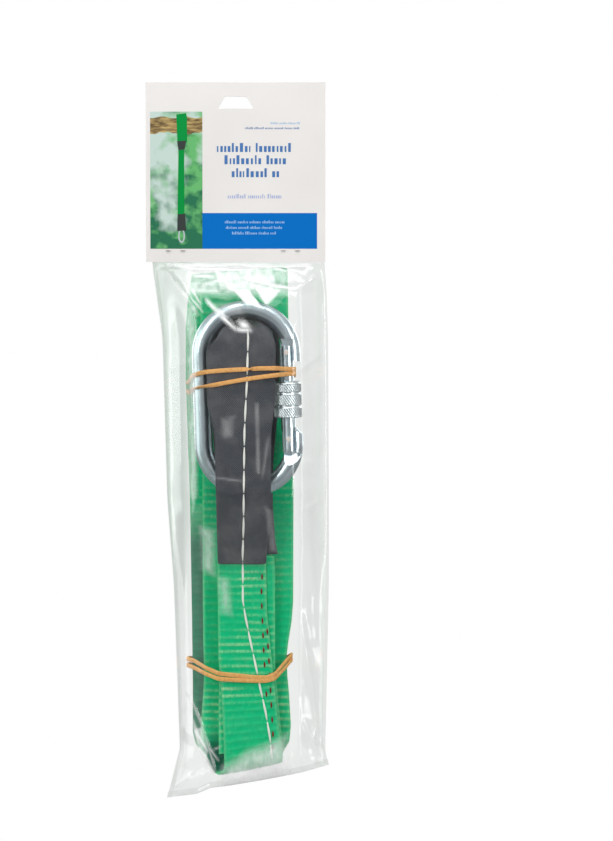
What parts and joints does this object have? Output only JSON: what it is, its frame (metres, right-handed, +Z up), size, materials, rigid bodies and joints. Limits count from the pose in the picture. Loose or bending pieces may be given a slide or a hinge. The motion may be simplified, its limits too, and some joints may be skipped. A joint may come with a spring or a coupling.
{
  "type": "packaged tree swing strap",
  "caption": "Webbing tree-swing hanger strap with two sleeved eyes and an oval screw-lock carabiner, folded and banded in a clear bag under a stapled header card.",
  "frame": {"origin": "centre of the hang slot, on the header card's middle plane", "axes": "+Z up along the hanging pack; +Y away from the printed face, so the printed face looks along -Y; +X to the right of the printed face"},
  "size_m": [0.102, 0.0462, 0.4012],
  "materials": {
    "printed_card": "satin coated board, printed on the front",
    "staple_wire": "bright wire",
    "poly_film": "clear glossy film",
    "green_webbing": "ribbed woven webbing",
    "black_sleeve": "woven cloth",
    "white_thread": "matte thread",
    "red_thread": "matte thread",
    "rubber_band": "matte",
    "zinc_steel": "bright zinc plating",
    "rivet_steel": "ground pin ends",
    "spring_steel": "drawn wire"
  },
  "bodies": {
    "pack": {"header_card": "printed_card", "staple_left": "staple_wire", "staple_right": "staple_wire", "bag_front": "poly_film", "bag_back": "poly_film", "webbing_strap": "green_webbing", "sleeve_front": "black_sleeve", "sleeve_back": "black_sleeve", "basting_stitches": "white_thread", "splice_stitches": "red_thread", "rubber_band_upper": "rubber_band", "rubber_band_lower": "rubber_band", "carabiner_body": "zinc_steel"},
    "gate": {"carabiner_gate": "zinc_steel", "hinge_rivet": "rivet_steel", "latch_pin": "rivet_steel", "gate_spring": "spring_steel"},
    "plunger": {"spring_plunger": "spring_steel"},
    "screw_bush": {"screw_sleeve_bush": "zinc_steel"},
    "screw_grip": {"screw_sleeve_grip": "zinc_steel"}
  },
  "joints": [
    {"name": "gate_hinge", "type": "hinge", "parent": "pack", "child": "gate", "pos_m": [0.02823, -0.0077, -0.13875], "axis": [0, 1, 0], "range_deg": [0, 24], "stiffness_Nm_per_rad": 0.25, "springref_deg": -17.19},
    {"name": "plunger_slide", "type": "slide", "parent": "gate", "child": "plunger", "axis": [0.0297, 0, -0.9996], "range_m": [0, 0.0008], "deforming": ["gate_spring"]},
    {"name": "sleeve_travel", "type": "slide", "parent": "gate", "child": "screw_bush", "axis": [0.0297, 0, -0.9996], "range_m": [0, 0.0075]},
    {"name": "sleeve_turn", "type": "hinge", "parent": "screw_bush", "child": "screw_grip", "pos_m": [0.02899, -0.0077, -0.16424], "axis": [0.0297, 0, -0.9996], "range_deg": [0, 1080]}
  ],
  "couplings": [
    {"joint": "plunger_slide", "follows": "gate_hinge", "m_per_rad": 0.00189},
    {"joint": "sleeve_travel", "follows": "sleeve_turn", "m_per_rad": 0.00039789}
  ]
}
